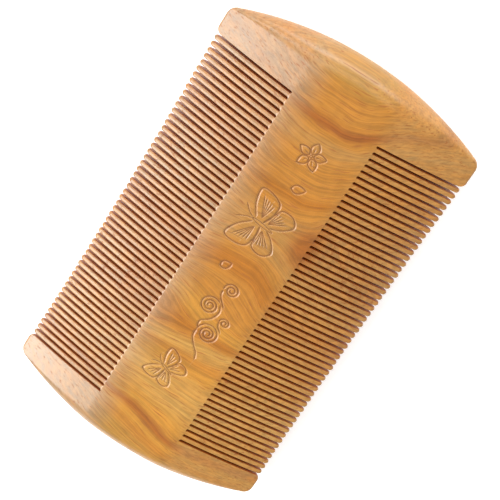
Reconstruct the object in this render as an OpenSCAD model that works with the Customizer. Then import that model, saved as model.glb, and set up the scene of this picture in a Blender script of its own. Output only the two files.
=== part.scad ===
// Double-sided wooden beard comb: one plank with a row of fine teeth sawn into each long side.
// It lies flat on its back. X runs across the comb along the teeth, Y runs along its length
// and Z is up. The origin is below the middle of the comb, on the surface it lies on.
// The five sub-parts are regions of the plank and meet face to face.

/* [Plank] */
// Overall length, end to end
comb_length = 98.2; // [94:0.1:120]
// Overall width across the end guards
comb_width = 55; // [54:0.5:56]
// Thickness of the flat middle
plank_thickness = 11.2; // [11:0.1:14]

/* [Ends] */
// Radius of each curved end, seen from above
end_radius = 72; // [60:0.5:90]
// How far in from the curved end its rounded edge begins
end_round = 4.4; // [1:0.1:6]
// Radius of the guards' outer corners
corner_radius = 2.2; // [0.5:0.1:3]
// Radius of the guards' corners beside the first slot
inner_corner_radius = 1.2; // [0.3:0.1:1.5]

/* [Taper] */
// Half width of the flat middle, where both faces start to fall towards the tooth tips
taper_start = 8.3; // [6:0.1:9]
// Angle at which each face starts to fall, in degrees
taper_angle = 12.4; // [8:0.1:12.6]
// Radius of the fall, seen from the end of the comb
taper_radius = 172; // [172:1:400]

/* [Teeth] */
// Teeth in each row
tooth_count = 53; // [30:1:53]
// Distance from one tooth to the next
tooth_pitch = 1.44; // [1.2:0.01:1.44]
// Width of the sawn slot between two teeth
slot_width = 0.5; // [0.3:0.05:0.8]
// Distance from the middle line to the closed end of the slots
root_half_width = 9.34; // [9.1:0.1:14]
// How far the tooth tips stay inside the guards
tip_setback = 0.2; // [0.1:0.1:2]
// How far both rows sit from the middle of the comb, towards the tail
row_shift = 0.5; // [0:0.1:1]

/* [Hidden] */

wood = [0.80, 0.56, 0.30];
pale_wood = [0.86, 0.64, 0.42];
half_thickness = plank_thickness / 2;
half_width = comb_width / 2;
tooth_width = tooth_pitch - slot_width;
tip_x = half_width - tip_setback;
// Half the length of a row with its last slots, which is where the guards begin
row_reach = (tooth_count * tooth_pitch + slot_width) / 2;
// Centre of the head end's curve
end_centre_y = comb_length / 2 - end_radius;
corner_x = half_width - corner_radius;
// The corner circles stand out past the curved end by this much, so the two cross cleanly
corner_overlap = 0.1;
corner_reach = end_radius - corner_radius + corner_overlap;
corner_y = end_centre_y + sqrt(pow(corner_reach, 2) - pow(corner_x, 2));
corner_sweep = atan2(corner_y - end_centre_y, corner_x);
round_steps = 7;
// The rounded rim stands above the plank's faces and beyond its end by these, so it cuts cleanly
rim_rise = 0.22;
rim_pass = 0.5;
rim_half_height = half_thickness + rim_rise;
arc_fn = 360;
corner_fn = 48;
// Longer than any part, for the blanks that others are cut from
blank = 2 * comb_length;

// Point of the rounded rim at an angle above the middle plane
function rim_point(a) = [end_radius - end_round * (1 - cos(a)), rim_half_height * sin(a)];

// One of the four big discs whose rims are the sloping faces of the cross-section
module taper_disc(side, face)
    translate([
        side * (taper_start - taper_radius * sin(taper_angle)),
        face * (half_thickness - taper_radius * cos(taper_angle))
    ])
        circle(r = taper_radius, $fn = arc_fn);

// Cross-section of the blank, seen from the end: flat middle, both faces falling to thin sides
// that lie just outside the finished width
module cross_section()
    intersection() {
        square([2 * comb_width, plank_thickness], center = true);
        taper_disc(1, 1);
        taper_disc(-1, 1);
        taper_disc(1, -1);
        taper_disc(-1, -1);
    }

// The planed and tapered blank, before its outline is cut, resting on Z = 0
module tapered_blank()
    translate([0, 0, half_thickness])
        rotate([90, 0, 0])
            linear_extrude(height = blank, center = true)
                cross_section();

// Upright prism of a plan drawn in XY
module prism()
    linear_extrude(height = plank_thickness)
        children();

// Round disc whose rim is an ellipse in section. It is a little thicker than the plank, so the
// rim runs out through both faces, and it passes the curved end to leave a narrow upright band.
module rounded_end()
    translate([0, end_centre_y, half_thickness])
        rotate_extrude($fn = arc_fn)
            polygon(concat(
                [[0, rim_half_height]],
                [for (i = [0:round_steps - 1]) rim_point(90 - i * 90 / round_steps)],
                [[end_radius + rim_pass, 0]],
                [for (i = [round_steps - 1:-1:0]) rim_point(i * 90 / round_steps - 90)],
                [[0, -rim_half_height]]
            ));

// Straight sides and rounded corners of a guard that begins at start_y, open at the curved end
module guard_sides(start_y) {
    corner_top_x = corner_x + corner_radius * cos(corner_sweep);
    corner_top_y = corner_y + corner_radius * sin(corner_sweep);
    right_side = [
        [half_width - inner_corner_radius, start_y],
        [half_width, start_y + inner_corner_radius],
        [half_width, corner_y],
        [corner_top_x, corner_top_y],
        [corner_top_x, comb_length]
    ];
    left_side = [for (i = [len(right_side) - 1:-1:0]) [-right_side[i][0], right_side[i][1]]];
    polygon(concat(right_side, left_side));
    for (side = [-1, 1]) {
        translate([side * corner_x, corner_y])
            circle(r = corner_radius, $fn = corner_fn);
        translate([side * (half_width - inner_corner_radius), start_y + inner_corner_radius])
            circle(r = inner_corner_radius, $fn = corner_fn);
    }
}

// Plan of a guard that begins at start_y
module guard_plan(start_y)
    intersection() {
        guard_sides(start_y);
        translate([0, end_centre_y])
            circle(r = end_radius, $fn = arc_fn);
    }

// Solid end of the comb outside the last slots, which begins at start_y
module guard(start_y)
    intersection() {
        tapered_blank();
        prism()
            guard_plan(start_y);
        rounded_end();
    }

// One tooth seen from above, with a rounded tip
module tooth_plan() {
    translate([root_half_width, -tooth_width / 2])
        square([tip_x - tooth_width / 2 - root_half_width, tooth_width]);
    translate([tip_x - tooth_width / 2, 0])
        circle(d = tooth_width, $fn = corner_fn);
}

// Row of separate teeth, each standing on the side face of the centre panel
module tooth_row()
    intersection() {
        tapered_blank();
        prism()
            for (i = [0:tooth_count - 1])
                translate([0, (i - (tooth_count - 1) / 2) * tooth_pitch - row_shift])
                    tooth_plan();
    }

// Solid middle of the plank between the two rows of slots
module centre_panel()
    color(wood)
        intersection() {
            tapered_blank();
            prism()
                translate([0, -row_shift])
                    square([2 * root_half_width, 2 * row_reach], center = true);
        }

module head_guard()
    color(wood)
        guard(row_reach - row_shift);

module tail_guard()
    color(wood)
        rotate([0, 0, 180])
            guard(row_reach + row_shift);

module right_teeth()
    color(pale_wood)
        tooth_row();

module left_teeth()
    color(pale_wood)
        mirror([1, 0, 0])
            tooth_row();

centre_panel();
head_guard();
tail_guard();
left_teeth();
right_teeth();
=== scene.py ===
"""Double-sided beard comb in sandalwood: the five regions of one plank, lying on a pale floor.

The script works in millimetres and scales its meshes to metres as it makes them.
"""

import math
import random

import bpy
import numpy as np
from mathutils import Matrix, Vector
from mathutils.geometry import delaunay_2d_cdt


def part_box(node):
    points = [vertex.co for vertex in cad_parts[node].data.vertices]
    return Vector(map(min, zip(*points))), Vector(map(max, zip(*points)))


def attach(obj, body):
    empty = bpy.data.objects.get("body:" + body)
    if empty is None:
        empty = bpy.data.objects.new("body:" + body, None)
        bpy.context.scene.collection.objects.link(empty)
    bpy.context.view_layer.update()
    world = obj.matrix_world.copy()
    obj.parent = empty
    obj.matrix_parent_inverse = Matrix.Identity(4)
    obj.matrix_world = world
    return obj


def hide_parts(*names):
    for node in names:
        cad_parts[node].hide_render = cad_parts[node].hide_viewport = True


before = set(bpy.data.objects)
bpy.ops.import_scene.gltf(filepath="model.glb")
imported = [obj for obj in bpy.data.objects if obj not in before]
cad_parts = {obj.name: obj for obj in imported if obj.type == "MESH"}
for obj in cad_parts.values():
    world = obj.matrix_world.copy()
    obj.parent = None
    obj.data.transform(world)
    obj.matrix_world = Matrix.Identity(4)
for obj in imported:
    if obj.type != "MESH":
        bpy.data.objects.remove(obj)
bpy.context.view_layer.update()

MM = 0.001


def node_box(node):
    """Lowest and highest corner of a CAD node, in millimetres."""
    low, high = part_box(node)
    return low / MM, high / MM


panel_low, panel_high = node_box("centre_panel")
_, head_high = node_box("head_guard")
tail_low, _ = node_box("tail_guard")
teeth_low, teeth_high = node_box("right_teeth")

# Sizes taken from the frame. Y is measured from the middle of the two rows of teeth, which lies
# at ROWS_Y, a little nearer the tail than the middle of the comb.
ROWS_Y = (panel_low.y + panel_high.y) / 2
THICKNESS = panel_high.z
MIDDLE = THICKNESS / 2
ROOT = panel_high.x
GUARD_START = panel_high.y - ROWS_Y
HEAD_REACH = head_high.y - ROWS_Y
TAIL_REACH = ROWS_Y - tail_low.y
HALF_WIDTH = head_high.x
TIP = teeth_high.x

# The two rows of teeth: the box gives how far the row reaches, and so the pitch and the slot
TEETH = 53
ROW_LENGTH = teeth_high.y - teeth_low.y
PITCH = (2 * GUARD_START + ROW_LENGTH) / (2 * TEETH)
SLOT = GUARD_START - ROW_LENGTH / 2

# Cross-section: a flat middle, then both faces fall to thin sides along a wide arc. The crease
# where the fall starts is worn round over TAPER_BLEND on either side.
TAPER_START = 8.3
TAPER_ANGLE = math.radians(12.4)
TAPER_RADIUS = 172.0
TAPER_BLEND = 1.5
FLAT_HALF_WIDTH = TAPER_START - TAPER_BLEND

# Curved ends and the guards' corners, seen from above
END_RADIUS = 72.0
OUTER_CORNER = 2.2
INNER_CORNER = 1.2
CORNER_X = HALF_WIDTH - OUTER_CORNER

# Half thickness left where the plank runs out, and a rounding too small to see
THINNEST = 0.01
HAIR = 0.004

# Points on each small rounded edge, and the bend in degrees above which shading stays sharp
EDGE_POINTS = 4
SHARP_ANGLE = 50


def half_height(x):
    """Half of the plank's thickness at x, with the crease of the CAD section softened."""
    past = abs(x) - TAPER_START
    if past <= -TAPER_BLEND:
        return MIDDLE
    if past < TAPER_BLEND:
        past = (past + TAPER_BLEND) ** 2 / (4 * TAPER_BLEND)
    sine = math.sin(TAPER_ANGLE) + past / TAPER_RADIUS
    return MIDDLE - TAPER_RADIUS * (math.cos(TAPER_ANGLE) - math.sqrt(1 - sine * sine))


def smooth_step(t):
    t = min(max(t, 0.0), 1.0)
    return t * t * (3 - 2 * t)


def spread(start, end, count):
    """Evenly spaced values from start to end, both included."""
    return [start + (end - start) * k / (count - 1) for k in range(count)]


# ---------------------------------------------------------------- meshes


def make_piece(name, corners, faces, material):
    """A mesh object from corners in millimetres, which stands for the CAD node of that name."""
    mesh = bpy.data.meshes.new(name + "_carved")
    mesh.from_pydata([(x * MM, (ROWS_Y + y) * MM, z * MM) for x, y, z in corners], [], faces)
    mesh.validate()
    mesh.shade_smooth()
    mesh.set_sharp_from_angle(angle=math.radians(SHARP_ANGLE))
    mesh.materials.append(material)
    piece = bpy.data.objects.new(name + "_carved", mesh)
    bpy.context.scene.collection.objects.link(piece)
    normals = piece.modifiers.new("even_normals", "WEIGHTED_NORMAL")
    normals.keep_sharp = True
    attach(piece, "root")
    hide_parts(name)
    return piece


def loft(loops, first=0):
    """Faces that join closed loops of equal length one after another, with both ends capped."""
    count = len(loops[0])
    faces = [tuple(first + k for k in reversed(range(count)))]
    for row in range(len(loops) - 1):
        start = first + row * count
        for k in range(count):
            after = (k + 1) % count
            faces.append((start + k, start + after, start + count + after, start + count + k))
    last = first + (len(loops) - 1) * count
    faces.append(tuple(last + k for k in range(count)))
    return faces


# ---------------------------------------------------------------- guards

# The ends' rounding is an ellipse in section, this deep for each unit of half thickness
RIM_DEPTH = 0.786
RIM_POINTS = 17
# Rounding of the long sides, and of the edges beside the first slot, which starts at the panel
# and grows over SLOT_EDGE_RISE
SIDE_NOSE = 0.35
SLOT_EDGE = 0.14
SLOT_EDGE_RISE = 0.4


def seam_columns():
    """X of the lines that panel and guards share across the seam between them."""
    flat = spread(0, FLAT_HALF_WIDTH, 5)
    blend = spread(FLAT_HALF_WIDTH, ROOT, 15)[1:]
    right = flat[1:] + blend
    return [-x for x in reversed(right)] + [0.0] + right


def guard_columns():
    """X of a guard's sections, closer together where its outline turns."""
    blend = spread(ROOT, TAPER_START + TAPER_BLEND, 6)[1:]
    taper = spread(TAPER_START + TAPER_BLEND, CORNER_X, 15)[1:]
    turn = [math.radians(a) for a in (8, 16, 24, 32, 40, 48, 55, 61, 67, 72, 77, 82, 86, 90)]
    corner = [CORNER_X + OUTER_CORNER * math.sin(a) for a in turn]
    outer = blend + taper + corner
    return [-x for x in reversed(outer)] + seam_columns() + outer


def outline_y(x, reach):
    """Y of a guard's curved end at x, with the rounded outer corners."""
    centre_y = reach - END_RADIUS
    if abs(x) > CORNER_X:
        corner_y = centre_y + math.sqrt((END_RADIUS - OUTER_CORNER) ** 2 - CORNER_X**2)
        across = min(abs(x) - CORNER_X, OUTER_CORNER)
        return corner_y + math.sqrt(OUTER_CORNER**2 - across**2)
    return centre_y + math.sqrt(END_RADIUS**2 - x * x)


def slot_side_y(x):
    """Y of the guard's side that faces the first slot, with the rounded inner corners."""
    across = abs(x) - (HALF_WIDTH - INNER_CORNER)
    if across <= 0:
        return GUARD_START
    across = min(across, INNER_CORNER)
    return GUARD_START + INNER_CORNER - math.sqrt(INNER_CORNER**2 - across**2)


def guard_height(x):
    """Half thickness of a guard at x: the plank's, rounded off along the side."""
    across = (abs(x) - (HALF_WIDTH - SIDE_NOSE)) / SIDE_NOSE
    rounding = math.sqrt(max(1 - max(across, 0.0) ** 2, 0.0))
    return max(half_height(x) * rounding, THINNEST)


def guard_section(x, reach):
    """Closed (y, z) section of a guard at x, from the slot side under the guard and back."""
    height = guard_height(x)
    slot_side = slot_side_y(x)
    edge = max(SLOT_EDGE * smooth_step((abs(x) - ROOT) / SLOT_EDGE_RISE), HAIR)
    edge = min(edge, 0.8 * height)
    top = []
    for a in spread(0, math.pi / 2, EDGE_POINTS):
        top.append((slot_side + edge * (1 - math.cos(a)), height - edge * (1 - math.sin(a))))
    end = outline_y(x, reach)
    depth = RIM_DEPTH * height
    for a in spread(math.pi / 2, 0, RIM_POINTS):
        top.append((end - depth * (1 - math.cos(a)), height * math.sin(a)))
    bottom = [(y, -z) for y, z in top[:-1]]
    return bottom + top[::-1]


def build_guard(name, side, reach, material):
    """One solid end of the comb. side is 1 for the head and -1 for the tail, turned half round."""
    loops = []
    for x in guard_columns():
        loops.append([(side * x, side * y, MIDDLE + z) for y, z in guard_section(x, reach)])
    corners = [corner for loop in loops for corner in loop]
    return make_piece(name, corners, loft(loops), material)


# ---------------------------------------------------------------- teeth

# Half width of a tooth, and the least half width and half thickness left at its tip
TOOTH_HALF = (PITCH - SLOT) / 2
TOOTH_THINNEST = 0.03
# Rounding of a tooth's edges and crown of its faces, which grow over TOOTH_WEAR_RISE
TOOTH_EDGE = 0.17
TOOTH_CROWN = 0.05
TOOTH_WEAR_RISE = 0.35
# Lengths over which a tip narrows and thins. A higher power makes a blunter tip.
TIP_TAPER = 0.65
TIP_TAPER_POWER = 3.0
TIP_NOSE = 0.6
TIP_NOSE_POWER = 2.2
# How much shorter the middle tooth of each row is, how far lengths vary, and how far tips stray
LEFT_HOLLOW = 0.5
RIGHT_HOLLOW = 0.3
UNEVENNESS = 0.12
TIP_DRIFT = 0.03


def tooth_columns():
    """X of a tooth's sections, from the panel to the tip."""
    slot_end = [ROOT + SLOT / 2 * (1 - math.cos(a)) for a in spread(0, math.pi / 2, 6)]
    blend = spread(slot_end[-1], TAPER_START + TAPER_BLEND, 5)[1:]
    shank = spread(TAPER_START + TAPER_BLEND, TIP - TIP_TAPER, 9)[1:]
    point = [TIP - TIP_TAPER + TIP_TAPER * math.sin(a) for a in spread(0, math.pi / 2, 10)[1:]]
    return slot_end + blend + shank + point


def tooth_section(x, shortening):
    """Closed (y, z) section at x of a tooth that is shorter by shortening, on its own line."""
    reach = x + shortening
    half = TOOTH_HALF
    if x < ROOT + SLOT / 2:
        across = ROOT + SLOT / 2 - x
        half = PITCH / 2 - math.sqrt(max((SLOT / 2) ** 2 - across**2, 0))
    toward_tip = min(max((reach - (TIP - TIP_TAPER)) / TIP_TAPER, 0), 1)
    half *= math.sqrt(max(1 - toward_tip**TIP_TAPER_POWER, 0.0))
    half = max(half, TOOTH_THINNEST)
    toward_nose = min(max((reach - (TIP - TIP_NOSE)) / TIP_NOSE, 0), 1)
    height = half_height(x) * math.sqrt(max(1 - toward_nose**TIP_NOSE_POWER, 0.0))
    height = max(height, TOOTH_THINNEST)
    worn = smooth_step((x - ROOT) / TOOTH_WEAR_RISE)
    edge = min(max(TOOTH_EDGE * worn, HAIR), 0.9 * half, 0.9 * height)
    crown = min(TOOTH_CROWN * worn, 0.2 * height)
    right_top = []
    for a in spread(0, math.pi / 2, EDGE_POINTS):
        y = half - edge * (1 - math.cos(a))
        right_top.append((y, height - edge * (1 - math.sin(a)) - crown))
    left_top = [(-y, z) for y, z in reversed(right_top)]
    top = right_top + [(0, height)] + left_top
    bottom = [(-y, -z) for y, z in top]
    return top + bottom


def build_teeth(name, side, material):
    """A row of 53 separate teeth, each a little different and shortest in the middle of the row."""
    vary = random.Random(name)
    deepest = RIGHT_HOLLOW if side > 0 else LEFT_HOLLOW
    columns = tooth_columns()
    corners = []
    faces = []
    for tooth in range(TEETH):
        line = (tooth - (TEETH - 1) / 2) * PITCH
        drift = vary.uniform(-TIP_DRIFT, TIP_DRIFT)
        hollow = deepest * (1 - (line / GUARD_START) ** 2)
        shortening = hollow + vary.uniform(0.0, UNEVENNESS)
        loops = []
        for x in columns:
            along = (x - ROOT) / (TIP - ROOT)
            middle = line + drift * along**2
            shorter = shortening * smooth_step((along - 0.5) * 2)
            place = x - shorter
            section = tooth_section(place, shorter)
            loops.append([(side * place, middle + side * y, MIDDLE + z) for y, z in section])
        faces += loft(loops, first=len(corners))
        corners += [corner for loop in loops for corner in loop]
    return make_piece(name, corners, faces, material)


# ---------------------------------------------------------------- engraving

LINE_WIDTH = 0.56
VEIN_WIDTH = 0.38
LINE_DEPTH = 0.2
# The ends of an open stroke run out over this length, and narrow to this share
FADE_LENGTH = 0.5
FADE_WIDTH = 0.3
# Mesh lines along a stroke, in half widths: flat margins, edges, feet of the walls and the middle
OUTLINE_SHARES = (-1.7, -1, -0.5, 0, 0.5, 1, 1.7)
# Depth of a groove from its edge, at 0, to its middle, at 1: a steep wall and a shallow floor
WALL_FOOT = 0.5
WALL_DEPTH = 0.8


def smooth_curve(points, closed=False, steps=7):
    """A Catmull-Rom curve through a few points."""
    points = [np.array(p, float) for p in points]
    count = len(points)
    curve = []
    for k in range(count if closed else count - 1):
        if closed:
            before, start, end, after = (points[(k + j) % count] for j in (-1, 0, 1, 2))
        else:
            start, end = points[k], points[k + 1]
            before = points[k - 1] if k else 2 * start - end
            after = points[k + 2] if k + 2 < count else 2 * end - start
        for t in spread(0, 1, steps + 1)[:-1]:
            curve.append(0.5 * (
                2 * start + (end - before) * t
                + (2 * before - 5 * start + 4 * end - after) * t**2
                + (3 * start - before - 3 * end + after) * t**3
            ))
    curve.append(points[0] if closed else points[-1])
    return np.array(curve)


def straight(start, end, steps=8):
    """A straight line, in enough steps for its ends to fade."""
    return np.array([np.array(start) + (np.array(end) - start) * t for t in spread(0, 1, steps)])


def placed(strokes, centre, size, turn):
    """Strokes of a motif drawn at unit size, turned by degrees, scaled and moved to centre."""
    cosine, sine = math.cos(math.radians(turn)), math.sin(math.radians(turn))
    rotation = np.array([[cosine, sine], [-sine, cosine]])
    return [(curve @ rotation * size + np.array(centre), width) for curve, width in strokes]


def petal_outline(length, width):
    """A pointed oval along +X from the origin."""
    upper = [(length * t, width * math.sin(math.pi * t**0.8) ** 0.9) for t in spread(0, 1, 9)]
    lower = [(x, -y) for x, y in reversed(upper[1:-1])]
    return np.array(upper + lower + upper[:1])


def flower():
    """Five open petals with a short vein in each, and a small ring in the middle."""
    strokes = []
    for k in range(5):
        turn = 90 + 72 * k
        petal = petal_outline(0.82, 0.27) + np.array([0.16, 0])
        vein = straight((0.2, 0), (0.6, 0))
        strokes += placed([(petal, LINE_WIDTH), (vein, VEIN_WIDTH)], (0, 0), 1, turn)
    ring = [(0.09 * math.cos(a), 0.09 * math.sin(a)) for a in spread(0, 2 * math.pi, 9)]
    strokes.append((np.array(ring), VEIN_WIDTH))
    return strokes


def butterfly(veins):
    """A plain butterfly heading along +X: body, feelers, two fore wings and two hind wings."""
    fore = [
        (0.28, 0.07), (0.6, 0.5), (0.72, 0.98), (0.36, 1.05),
        (-0.04, 0.88), (-0.1, 0.4), (0.0, 0.07),
    ]
    hind = [
        (0.0, 0.07), (-0.12, 0.5), (-0.22, 0.8), (-0.6, 0.84),
        (-0.82, 0.58), (-0.56, 0.24), (-0.25, 0.06),
    ]
    strokes = []
    for side in (1, -1):
        mirror = np.array([1, side])
        strokes.append((smooth_curve(fore) * mirror, LINE_WIDTH))
        strokes.append((smooth_curve(hind) * mirror, LINE_WIDTH))
        for k in range(veins):
            share = (k + 0.5) / veins
            fore_end = np.array([0.6 - 0.6 * share, 0.88 - 0.03 * k])
            hind_end = np.array([-0.14 - 0.54 * share, 0.74 - 0.24 * share])
            for end, start in ((fore_end, (0.13, 0.17)), (hind_end, (-0.14, 0.14))):
                strokes.append((straight(start, end) * mirror, VEIN_WIDTH))
        feeler = smooth_curve([(0.33, 0.02), (0.55, 0.1), (0.8, 0.3)]) * mirror
        strokes.append((feeler, VEIN_WIDTH))
    body = [(0.34, 0), (0.1, 0.055), (-0.3, 0.035), (-0.42, 0), (-0.3, -0.035), (0.1, -0.055)]
    strokes.append((smooth_curve(body, closed=True, steps=4), VEIN_WIDTH))
    return strokes


def scroll(turns, handed):
    """A spiral of unit radius that winds inwards from (1, 0)."""
    count = int(26 * turns)
    points = []
    for t in spread(0, 1, count):
        radius = 1 - 0.86 * t**0.8
        angle = handed * 2 * math.pi * turns * t
        points.append((radius * math.cos(angle), radius * math.sin(angle)))
    return [(np.array(points), LINE_WIDTH)]


def engraving():
    """Every engraved stroke on the front face, as (curve, width)."""
    strokes = placed(flower(), (0.2, 29.6), 3.1, 0)
    strokes += placed([(petal_outline(1, 0.3), LINE_WIDTH)], (0.3, 21.9), 2.9, 22)
    strokes += placed(butterfly(veins=5), (-0.6, 12.2), 6.2, 172)
    strokes += placed([(petal_outline(1, 0.34), LINE_WIDTH)], (-3.0, 0.2), 2.4, 42)
    strokes += placed(scroll(2.2, -1), (1.7, -3.3), 1.7, 200)
    strokes += placed(scroll(2.6, 1), (-0.4, -8.4), 2.2, 40)
    strokes += placed(scroll(1.8, -1), (4.0, -10.2), 1.2, 190)
    strokes += placed(scroll(2.7, -1), (2.3, -14.1), 2.4, 185)
    stem = [(0.12, -3.9), (0.3, -5.2), (1.2, -6.4), (2.3, -7.6)]
    branch = [(2.8, -10.4), (3.3, -11.6), (4.4, -12.6)]
    tail = [(-0.1, -14.2), (0.0, -16.0), (1.0, -17.6), (2.3, -19.0), (2.9, -20.6)]
    arch = [(1.3, -7.1), (1.9, -8.8), (1.2, -10.8), (-0.4, -12.4), (-0.1, -14.2)]
    for curve in (stem, branch, tail, arch):
        strokes.append((smooth_curve(curve), LINE_WIDTH))
    strokes += placed(butterfly(veins=3), (-0.8, -25.6), 3.9, 158)
    return strokes


class Grooves:
    """The engraved strokes as centre lines with a width and a depth at each point."""

    def __init__(self, strokes):
        self.lines = []
        for curve, width in strokes:
            ahead = np.gradient(curve, axis=0)
            ahead /= np.linalg.norm(ahead, axis=1)[:, None] + 1e-9
            aside = np.stack([-ahead[:, 1], ahead[:, 0]], 1)
            steps = np.linalg.norm(np.diff(curve, axis=0), axis=1)
            along = np.concatenate([[0], np.cumsum(steps)])
            to_end = np.minimum(along, along[-1] - along)
            closed = np.linalg.norm(curve[0] - curve[-1]) < LINE_WIDTH / 10
            fade = np.ones(len(curve)) if closed else np.clip(to_end / FADE_LENGTH, 0, 1) ** 0.6
            half = width / 2 * np.maximum(fade, FADE_WIDTH)
            self.lines.append((curve, aside, half, LINE_DEPTH * fade * width / LINE_WIDTH))

    def outlines(self):
        """Polylines to build the grooves on."""
        for curve, aside, half, _ in self.lines:
            for share in OUTLINE_SHARES:
                yield curve + aside * (half * share)[:, None]

    def depth_at(self, points):
        """Depth of the surface below the face at each point, and how far in from a groove's edge
        the point lies, from 0 outside to 1 on the middle line."""
        depth = np.zeros(len(points))
        share = np.zeros(len(points))
        for curve, _, half, deep in self.lines:
            low = curve.min(0) - LINE_WIDTH
            high = curve.max(0) + LINE_WIDTH
            near = np.flatnonzero(((points > low) & (points < high)).all(1))
            if not len(near):
                continue
            start, run = curve[:-1], np.diff(curve, axis=0)
            offset = points[near][:, None] - start[None]
            t = np.clip((offset * run).sum(2) / ((run**2).sum(1) + 1e-12), 0, 1)
            gap = np.linalg.norm(offset - t[..., None] * run, axis=2)
            best = gap.argmin(1)
            rows = np.arange(len(near))
            t_best = t[rows, best]
            width = half[best] + (half[best + 1] - half[best]) * t_best
            floor = deep[best] + (deep[best + 1] - deep[best]) * t_best
            inside = np.clip(1 - gap[rows, best] / width, 0, 1)
            inside[inside < 0.02] = 0  # points of the edge itself stay level with the face
            carved = np.interp(inside, (0, WALL_FOOT, 1), (0, WALL_DEPTH, 1))
            depth[near] = np.maximum(depth[near], carved * floor)
            share[near] = np.maximum(share[near], inside)
        return depth, share


def build_panel(name, material):
    """The solid middle of the plank, with the engraving cut into its front face."""
    columns = seam_columns()
    points = []
    edges = []
    for k, x in enumerate(columns):
        points += [(x, -GUARD_START), (x, GUARD_START)]
        if abs(x) >= FLAT_HALF_WIDTH - HAIR:
            edges.append((2 * k, 2 * k + 1))
        if k:
            edges += [(2 * k - 2, 2 * k), (2 * k - 1, 2 * k + 1)]
    grooves = Grooves(engraving())
    for outline in grooves.outlines():
        first = len(points)
        points += [tuple(p) for p in outline]
        edges += [(first + k, first + k + 1) for k in range(len(outline) - 1)]
    plan, _, triangles, _, _, _ = delaunay_2d_cdt([Vector(p) for p in points], edges, [], 0, 1e-4)
    plan = np.array([tuple(p) for p in plan])
    depth, share = grooves.depth_at(plan)
    depth[np.abs(plan[:, 0]) > FLAT_HALF_WIDTH + LINE_WIDTH] = 0
    corners = []
    for (x, y), deep in zip(plan.tolist(), depth.tolist()):
        corners.append((x, y, MIDDLE + half_height(x) - deep))
    faces = [tuple(t) for t in triangles]

    # The back and the four sides hang from the outermost corners of the front face
    def front(x, y):
        """Number of the front corner nearest to a place."""
        return int(np.abs(plan - np.array([x, y])).sum(1).argmin())

    tail_row = [front(x, -GUARD_START) for x in columns]
    head_row = [front(x, GUARD_START) for x in columns]
    back_tail, back_head = [], []
    for x in columns:
        back_tail.append(len(corners))
        corners.append((x, -GUARD_START, MIDDLE - half_height(x)))
        back_head.append(len(corners))
        corners.append((x, GUARD_START, MIDDLE - half_height(x)))
    for k in range(len(columns) - 1):
        faces.append((back_tail[k], back_head[k], back_head[k + 1], back_tail[k + 1]))
        faces.append((tail_row[k], back_tail[k], back_tail[k + 1], tail_row[k + 1]))
        faces.append((head_row[k + 1], back_head[k + 1], back_head[k], head_row[k]))
    faces.append((tail_row[0], head_row[0], back_head[0], back_tail[0]))
    faces.append((head_row[-1], tail_row[-1], back_tail[-1], back_head[-1]))
    piece = make_piece(name, corners, faces, material)
    groove = piece.data.attributes.new("groove", "FLOAT", "POINT")
    values = np.zeros(len(corners), np.float32)
    values[: len(share)] = share
    groove.data.foreach_set("value", values)
    return piece


# ---------------------------------------------------------------- material


class Graph:
    """Short calls that add nodes to one material and join them up."""

    def __init__(self, name):
        self.material = bpy.data.materials.new(name)
        self.material.use_nodes = True
        self.tree = self.material.node_tree
        self.tree.nodes.clear()

    def feed(self, socket, value):
        if isinstance(value, bpy.types.NodeSocket):
            self.tree.links.new(value, socket)
        else:
            socket.default_value = value

    def add(self, kind, inputs=None, **settings):
        node = self.tree.nodes.new(kind)
        for key, value in settings.items():
            setattr(node, key, value)
        for key, value in (inputs or {}).items():
            self.feed(node.inputs[key], value)
        return node

    def math(self, operation, *values, clamp=False):
        node = self.add("ShaderNodeMath", operation=operation, use_clamp=clamp)
        for socket, value in zip(node.inputs, values):
            self.feed(socket, value)
        return node.outputs[0]

    def total(self, *values):
        result = values[0]
        for value in values[1:]:
            result = self.math("ADD", result, value)
        return result

    def vector(self, x, y, z):
        return self.add("ShaderNodeCombineXYZ", {"X": x, "Y": y, "Z": z}).outputs[0]

    def noise(self, place, scale, detail=2.0, roughness=0.5, distortion=0.0):
        values = {
            "Vector": place, "Scale": scale, "Detail": detail,
            "Roughness": roughness, "Distortion": distortion,
        }
        return self.add("ShaderNodeTexNoise", values).outputs["Fac"]

    def remap(self, value, low, high, new_low=0.0, new_high=1.0):
        values = {
            "Value": value, "From Min": low, "From Max": high, "To Min": new_low, "To Max": new_high,
        }
        return self.add("ShaderNodeMapRange", values, interpolation_type="SMOOTHSTEP").outputs[0]

    def hump(self, value, centre, reach):
        """1 at centre, falling smoothly to 0 at reach on either side."""
        away = self.math("ABSOLUTE", self.math("SUBTRACT", value, centre))
        return self.remap(away, 0.0, reach, 1.0, 0.0)

    def blend(self, share, first, second, mode="MIX"):
        """Mix of two colours, which are inputs 6 and 7 of Blender's Mix node."""
        node = self.add("ShaderNodeMix", data_type="RGBA", blend_type=mode)
        self.feed(node.inputs[0], share)
        self.feed(node.inputs[6], first)
        self.feed(node.inputs[7], second)
        return node.outputs[2]

    def ramp(self, value, stops):
        node = self.add("ShaderNodeValToRGB", {"Fac": value})
        band = node.color_ramp
        band.interpolation = "EASE"
        while len(band.elements) < len(stops):
            band.elements.new(0.5)
        for element, (position, colour) in zip(band.elements, stops):
            element.position = position
            element.color = colour
        return node.outputs[0]


# How bright a white surface looks in this light, and how much the wood's gloss adds to its colour
LIGHT_LEVEL = 1.55
GLOSS_LEVEL = 0.022


def wood_tone(red, green, blue):
    """The colour, given as it looks in 0 to 255, as the reflectance that looks so in this light."""
    linear = []
    for channel in (red, green, blue):
        share = channel / 255
        # The sRGB standard's curve, from what is seen to light
        value = share / 12.92 if share <= 0.04045 else ((share + 0.055) / 1.055) ** 2.4
        linear.append(max(value - GLOSS_LEVEL, 0.004) / LIGHT_LEVEL)
    return (*linear, 1.0)


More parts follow.
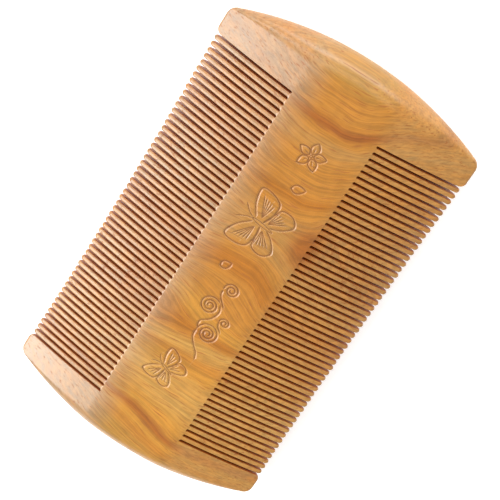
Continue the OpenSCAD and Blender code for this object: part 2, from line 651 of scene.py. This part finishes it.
HONEY = wood_tone(207, 141, 62)
GOLD = wood_tone(216, 155, 68)
PALE = wood_tone(202, 148, 80)
AMBER = wood_tone(196, 124, 48)
RUSSET = wood_tone(168, 96, 42)
UMBER = wood_tone(110, 58, 26)
# Painted shade for the walls of the slots between the teeth
SLOT_SHADE_BROWN = wood_tone(190, 88, 34)
STRAW = wood_tone(222, 168, 88)
CINNAMON = wood_tone(180, 108, 50)
# Pale, greyer tone, partly the wood's own and partly painted sheen of the side light on the left faces
ASH_AND_SHEEN = wood_tone(192, 158, 122)
TAN = wood_tone(217, 167, 103)
CHALK = wood_tone(232, 186, 130)
OCHRE = wood_tone(198, 148, 72)

# Growth bands from the tail to the head: where each is centred along the comb, and its tone
BANDS = [
    (-52.0, OCHRE), (-44.5, OCHRE), (-41.5, HONEY), (-39.5, GOLD), (-37.6, CINNAMON), (-35.8, GOLD),
    (-31.0, STRAW), (-26.5, STRAW), (-23.0, GOLD), (-21.4, HONEY), (-18.5, STRAW), (-14.6, AMBER),
    (-11.5, GOLD), (-6.0, HONEY), (-1.5, HONEY), (0.8, AMBER), (3.0, AMBER), (5.0, HONEY), (8.0, PALE),
    (14.5, PALE), (18.4, HONEY), (20.4, AMBER), (23.0, HONEY), (29.0, HONEY), (33.5, PALE), (35.2, HONEY),
    (36.9, RUSSET), (39.0, HONEY), (43.0, HONEY), (46.0, OCHRE), (52.0, OCHRE),
]


def sandalwood():
    """Oiled sandalwood: growth bands across the comb, streaks and pores along its teeth."""
    g = Graph("sandalwood")
    object_place = g.add("ShaderNodeTexCoord").outputs["Object"]
    scale = g.add("ShaderNodeVectorMath", {0: object_place, "Scale": 1 / MM}, operation="SCALE")
    parts = g.add("ShaderNodeSeparateXYZ", {0: scale.outputs[0]}).outputs
    x, z = parts[0], parts[2]
    y = g.math("SUBTRACT", parts[1], ROWS_Y)

    def bow(distance):
        """Square of the distance where it is positive, easing off further out."""
        square = g.math("POWER", g.math("MAXIMUM", distance, 0.0), 2.0)
        return g.math("DIVIDE", square, g.math("ADD", 1.0, g.math("DIVIDE", square, 144.0)))

    # Height of a point through the growth layers, which dish upwards at the head, more on the right
    right_bow = bow(g.math("SUBTRACT", x, 2.0))
    left_bow = bow(g.math("SUBTRACT", -2.0, x))
    dish = g.math("ADD", right_bow, g.math("MULTIPLY", left_bow, 0.35))
    dish_rate = g.math("MULTIPLY", g.remap(y, 6.0, 20.0, -0.07, 0.07), g.remap(y, -10.0, 0.0))
    # X, easing off towards 20 mm on either side: how far a slant lifts or lowers the layers there
    lean = g.math("DIVIDE", x, 20.0)
    lean = g.math("DIVIDE", x, g.math("SQRT", g.math("ADD", 1.0, g.math("POWER", lean, 2.0))))
    slant = g.total(
        g.math("MULTIPLY", g.hump(y, -8.0, 9.0), 0.4),
        g.math("MULTIPLY", g.hump(y, -18.0, 6.0), -0.2),
        g.math("MULTIPLY", g.hump(y, -40.0, 11.0), 0.3),
    )

    def at_scale(along, over, through):
        """Soft noise with this many waves in a millimetre of X, Y and Z."""
        rates = zip((x, y, z), (along, over, through))
        return g.noise(g.vector(*[g.math("MULTIPLY", part, rate) for part, rate in rates]), 1.0)

    layer = g.total(
        y,
        g.math("MULTIPLY", g.math("MULTIPLY", dish_rate, dish), -1.0),
        g.math("MULTIPLY", slant, lean),
        g.math("MULTIPLY", g.math("SUBTRACT", z, THICKNESS), 0.55),
        g.math("MULTIPLY", g.math("SUBTRACT", at_scale(0.05, 0.12, 0.12), 0.5), 2.5),
        g.math("MULTIPLY", g.math("SUBTRACT", at_scale(0.16, 0.5, 0.4), 0.5), 0.9),
    )
    low, high = BANDS[0][0], BANDS[-1][0]
    stops = [((place - low) / (high - low), tone) for place, tone in BANDS]
    colour = g.ramp(g.math("DIVIDE", g.math("SUBTRACT", layer, low), high - low), stops)

    # Streaks, fine grain and pores, all drawn out along the teeth
    def grain(along, over):
        """Place in a noise that is stretched along X and follows the growth layers."""
        return g.vector(
            g.math("MULTIPLY", x, along),
            g.math("MULTIPLY", layer, over),
            g.math("MULTIPLY", z, over),
        )

    streaks = g.remap(g.noise(grain(0.07, 0.9), 1.0, detail=4.0, roughness=0.6), 0.32, 0.68)
    fibres = g.remap(g.noise(grain(0.09, 2.3), 1.0, detail=4.0, roughness=0.65), 0.32, 0.68)
    pores = g.remap(g.noise(grain(0.22, 3.4), 1.0, detail=1.0), 0.6, 0.72)
    ripple = g.remap(at_scale(0.55, 0.3, 1.0), 0.32, 0.68)

    # Paler, greyer tone to the left, most of all in the guards and fading before the rounded rim: partly
    # paler wood, partly painted sheen where the left faces catch the side light. Paler, tanner wood a
    # little to the right
    from_middle = g.math("ABSOLUTE", y)
    in_guards = g.remap(from_middle, GUARD_START - 2.0, GUARD_START, 0.6, 0.82)
    short_of_rim = g.remap(from_middle, 44.5, 47.5, 1.0, 0.45)
    pale_wood_and_sheen = g.math("MULTIPLY", g.math("MULTIPLY", g.remap(x, -3.0, -9.6), in_guards), short_of_rim)
    colour = g.blend(pale_wood_and_sheen, colour, ASH_AND_SHEEN)
    colour = g.blend(g.math("MULTIPLY", g.remap(x, 7.0, 12.0), 0.5), colour, TAN)

    # A darker blot on the right, where the layers open out
    blot = g.math("MULTIPLY", g.hump(layer, 12.8, 5.0), g.remap(x, 4.0, 8.0))
    blot = g.math("MULTIPLY", blot, g.remap(x, 9.0, 13.0, 1.0, 0.2))
    colour = g.blend(blot, colour, CINNAMON)
    colour = g.blend(g.math("MULTIPLY", streaks, 0.35), colour, AMBER)
    light = g.total(
        0.72,
        g.math("MULTIPLY", streaks, 0.14),
        g.math("MULTIPLY", fibres, 0.34),
        g.math("MULTIPLY", ripple, 0.08),
    )
    colour = g.blend(1.0, colour, g.vector(light, light, light), "MULTIPLY")
    colour = g.blend(g.math("MULTIPLY", pores, 0.6), colour, RUSSET)

    # Walls of the slots between the teeth, painted a deep red-brown: painted shade for the shaded slots
    normal = g.add("ShaderNodeNewGeometry").outputs["Normal"]
    facing = g.math("ABSOLUTE", g.add("ShaderNodeSeparateXYZ", {0: normal}).outputs[1])
    wall = g.remap(facing, 0.55, 0.98)
    beside = g.math("GREATER_THAN", g.math("ABSOLUTE", x), ROOT - 0.1)
    between = g.math("LESS_THAN", g.math("ABSOLUTE", y), GUARD_START + 0.2)
    slot_wall_shade = g.math("MULTIPLY", g.math("MULTIPLY", wall, beside), between)
    colour = g.blend(g.math("MULTIPLY", slot_wall_shade, 0.65), colour, SLOT_SHADE_BROWN)

    # Engraved lines are painted dark in the middle and paler along their edges
    groove = g.add("ShaderNodeAttribute", attribute_name="groove").outputs["Fac"]
    colour = g.blend(g.math("MULTIPLY", g.hump(groove, 0.25, 0.25), 0.45), colour, CHALK)
    colour = g.blend(g.math("MULTIPLY", g.remap(groove, 0.4, 0.95), 0.6), colour, UMBER)

    relief = g.math("SUBTRACT", fibres, pores)
    bump = g.add("ShaderNodeBump", {"Strength": 0.15, "Distance": 0.03 * MM, "Height": relief})
    roughness = g.total(
        0.3,
        g.math("MULTIPLY", fibres, 0.06),
        g.math("MULTIPLY", pores, 0.15),
        g.math("MULTIPLY", groove, 0.35),
    )
    surface = g.add("ShaderNodeBsdfPrincipled", {
        "Base Color": colour, "Roughness": roughness, "Normal": bump.outputs[0], "IOR": 1.5,
    })
    g.add("ShaderNodeOutputMaterial", {"Surface": surface.outputs[0]})
    return g.material


# ---------------------------------------------------------------- floor, lights and camera


def build_floor():
    """Plain pale floor, just under the comb, which reaches 4 metres each way."""
    g = Graph("pale_floor")
    surface = g.add("ShaderNodeBsdfPrincipled", {
        "Base Color": (0.93, 0.93, 0.93, 1), "Roughness": 0.9,
        "Emission Color": (1, 1, 1, 1), "Emission Strength": 0.4,
    })
    g.add("ShaderNodeOutputMaterial", {"Surface": surface.outputs[0]})
    reach = 4.0
    mesh = bpy.data.meshes.new("floor")
    level = -0.02 * MM
    corners = [(x * reach, y * reach, level) for x, y in ((-1, -1), (1, -1), (1, 1), (-1, 1))]
    mesh.from_pydata(corners, [], [(0, 1, 2, 3)])
    mesh.materials.append(g.material)
    floor = bpy.data.objects.new("floor", mesh)
    bpy.context.scene.collection.objects.link(floor)


def softbox(name, direction, distance, width, height, power):
    """A rectangular light facing the comb. Distance and sides are in metres, power in watts."""
    data = bpy.data.lights.new(name, "AREA")
    data.shape = "RECTANGLE"
    data.size = width
    data.size_y = height
    data.energy = power
    lamp = bpy.data.objects.new(name, data)
    toward = Vector(direction).normalized()
    lamp.location = toward * distance
    lamp.rotation_euler = toward.to_track_quat("Z", "Y").to_euler()
    bpy.context.scene.collection.objects.link(lamp)


def build_world():
    """Even white light from all around."""
    world = bpy.data.worlds.new("studio")
    world.use_nodes = True
    background = world.node_tree.nodes["Background"]
    background.inputs["Color"].default_value = (1, 1, 1, 1)
    background.inputs["Strength"].default_value = 0.7
    bpy.context.scene.world = world


def build_camera():
    """Camera above the head end, rolled so that the comb lies across the picture's diagonal."""
    azimuth = math.radians(94.19)
    elevation = math.radians(63.85)
    roll = math.radians(151.32)
    distance = 407.77 * MM
    target = Vector((0.215, ROWS_Y + 6.29, THICKNESS - 0.25)) * MM
    back = Vector((
        math.cos(elevation) * math.cos(azimuth),
        math.cos(elevation) * math.sin(azimuth),
        math.sin(elevation),
    ))
    level = Vector((0, 0, 1)).cross(back).normalized()
    upright = back.cross(level)
    up = math.cos(roll) * upright + math.sin(roll) * level
    right = up.cross(back)
    data = bpy.data.cameras.new("camera")
    data.sensor_width = 36.0
    data.lens = 153.14
    data.clip_start = 0.01
    data.clip_end = 50.0
    camera = bpy.data.objects.new("camera", data)
    turn = Matrix((right, up, back)).transposed().to_4x4()
    camera.matrix_world = Matrix.Translation(target + back * distance) @ turn
    bpy.context.scene.collection.objects.link(camera)
    bpy.context.scene.camera = camera


wood = sandalwood()
build_panel("centre_panel", wood)
build_guard("head_guard", 1, HEAD_REACH, wood)
build_guard("tail_guard", -1, TAIL_REACH, wood)
build_teeth("right_teeth", 1, wood)
build_teeth("left_teeth", -1, wood)

build_floor()
build_world()
softbox("side_window", (-0.62, -0.48, 0.62), 0.9, 0.42, 0.42, 8.5)
softbox("side_card", (-0.57, 0.54, 0.61), 0.9, 0.25, 0.25, 1.8)
softbox("low_card", (-0.12, 0.98, 0.13), 0.9, 0.65, 0.22, 4.6)
softbox("front", (-0.1, 0.64, 0.77), 1.1, 0.7, 0.6, 2.6)
build_camera()
bpy.context.scene.view_settings.view_transform = "Standard"
